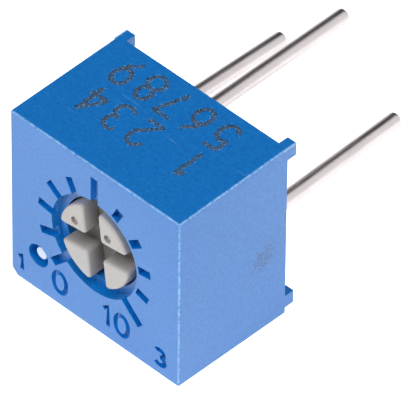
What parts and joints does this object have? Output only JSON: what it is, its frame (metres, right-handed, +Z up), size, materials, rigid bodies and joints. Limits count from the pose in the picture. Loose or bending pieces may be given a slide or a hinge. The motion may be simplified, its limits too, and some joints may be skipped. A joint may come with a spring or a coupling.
{
  "type": "trimmer potentiometer",
  "caption": "Square single-turn trimmer potentiometer with a cross-slotted rotor in a ticked dial and round leads out of the back for a circuit board.",
  "frame": {"origin": "on the rotor's axis, in the plane of the adjust face", "axes": "+X to the right along the adjust face, +Y from the adjust face to the lead tips, +Z up; the part lies on its lower side"},
  "size_m": [0.007, 0.0105, 0.0066],
  "materials": {
    "case": "satin, moulded",
    "rotor": "fine matt, moulded",
    "seal": "smooth",
    "spring": "bright, rolled",
    "plate": "matt, fired",
    "film": "satin, printed and fired",
    "contact": "satin, printed and fired",
    "wire": "bright tinned",
    "solder": "bright",
    "resin": "satin, poured"
  },
  "bodies": {
    "turning_rotor": {"rotor": "rotor", "wiper": "spring", "o_ring": "seal"},
    "case": {"housing": "case", "element_plate": "plate", "resistive_track": "film", "end_pad_1": "contact", "end_pad_3": "contact", "collector": "contact", "lead_1": "wire", "lead_2": "wire", "lead_3": "wire", "solder_1": "solder", "solder_2": "solder", "solder_3": "solder", "sealing_resin": "resin"}
  },
  "joints": [
    {"name": "rotor_turn", "type": "hinge", "parent": "case", "child": "turning_rotor", "pos_m": [0, 0, 0], "axis": [0, -1, 0], "range_deg": [-142, 128]}
  ]
}
